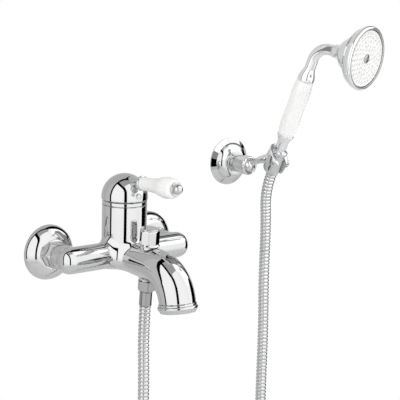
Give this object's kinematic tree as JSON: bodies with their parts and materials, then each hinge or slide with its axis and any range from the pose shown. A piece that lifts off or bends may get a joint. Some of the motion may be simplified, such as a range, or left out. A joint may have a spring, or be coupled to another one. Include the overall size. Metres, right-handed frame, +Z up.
{
  "type": "wall mounted bath mixer with hand shower",
  "caption": "Wall mounted bath mixer with a porcelain lever, swan spout, pull diverter, ribbed hose and a hand shower held in a wall bracket.",
  "frame": {"origin": "on the wall plane, midway between the two inlet axes, at the height of the mixer's arms", "axes": "+Z up, +Y into the wall, +X towards the wall bracket and the hand shower; the mixer stands out along -Y"},
  "size_m": [0.3989, 0.2366, 0.8344],
  "materials": {
    "chrome": "polished",
    "brass": "machined",
    "steel": "brushed",
    "plastic": "satin",
    "rubber": "matte",
    "porcelain": "white glaze"
  },
  "bodies": {
    "root": {"mixer_body": "chrome", "left_union": "brass", "right_union": "brass", "left_rose": "chrome", "right_rose": "chrome", "left_washer": "rubber", "right_washer": "rubber", "left_nipple": "chrome", "right_nipple": "chrome", "left_nut": "chrome", "right_nut": "chrome", "cartridge": "plastic", "cartridge_nut": "brass", "trim_ring": "chrome", "outlet_ring": "chrome", "aerator": "plastic", "aerator_seal": "rubber", "diverter_bonnet": "brass", "hose_outlet": "brass", "hose_washer": "rubber", "hose_nut": "chrome", "hose_ferrule": "chrome", "hose_lower": "chrome", "bracket_plate": "steel", "bracket_rose": "chrome", "bracket_stem": "chrome", "ball_seat": "plastic", "ring_nut": "chrome"},
    "rotor": {"cartridge_rotor": "plastic", "pivot_pin": "steel"},
    "lever": {"cartridge_stem": "steel", "dome_cap": "chrome", "cap_grub_screw": "steel", "index_plug": "chrome", "lever_stalk": "chrome", "lever_porcelain": "porcelain", "lever_rod": "steel", "lever_button": "chrome"},
    "diverter": {"diverter_knob": "chrome", "diverter_spindle": "brass", "diverter_valve": "rubber"},
    "holder": {"holder": "chrome"},
    "clamp": {"clamp_knob": "chrome"},
    "hose_end": {"hose_end": "brass", "hose_upper": "chrome"},
    "handset": {"cone_nut": "chrome", "handset_seal": "rubber", "handle_socket": "chrome", "porcelain_handle": "porcelain", "handset_tube": "brass", "handset_neck": "chrome", "shower_head": "chrome", "spray_plate": "plastic", "spray_seal": "rubber", "spray_screw": "chrome"}
  },
  "joints": [
    {"name": "lever_turn", "type": "hinge", "parent": "root", "child": "rotor", "pos_m": [0, -0.055, 0.05], "axis": [0, 0, 1], "range_deg": [-45, 45]},
    {"name": "lever_lift", "type": "hinge", "parent": "rotor", "child": "lever", "pos_m": [0, -0.055, 0.046], "axis": [-1, 0, 0], "range_deg": [0, 22]},
    {"name": "diverter_pull", "type": "slide", "parent": "root", "child": "diverter", "axis": [0, -0.0732, 0.9973], "range_m": [0, 0.009]},
    {"name": "arm_tilt", "type": "hinge", "parent": "root", "child": "holder", "pos_m": [0.2106, -0.041, 0.086], "axis": [1, 0, 0], "range_deg": [-12, 12], "deforming": ["hose_lower"]},
    {"name": "clamp_knob_turn", "type": "hinge", "parent": "holder", "child": "clamp", "pos_m": [0.22577, -0.07452, 0.09171], "axis": [0.989, 0.1478, 0], "range_deg": [-180, 180]},
    {"name": "handset_lift", "type": "slide", "parent": "holder", "child": "hose_end", "axis": [0.0547, -0.3657, 0.9291], "range_m": [0, 0.035], "deforming": ["hose_upper"]},
    {"name": "handset_turn", "type": "hinge", "parent": "hose_end", "child": "handset", "pos_m": [0.22609, -0.07671, 0.09728], "axis": [0.0547, -0.3657, 0.9291], "range_deg": [-60, 60]}
  ]
}
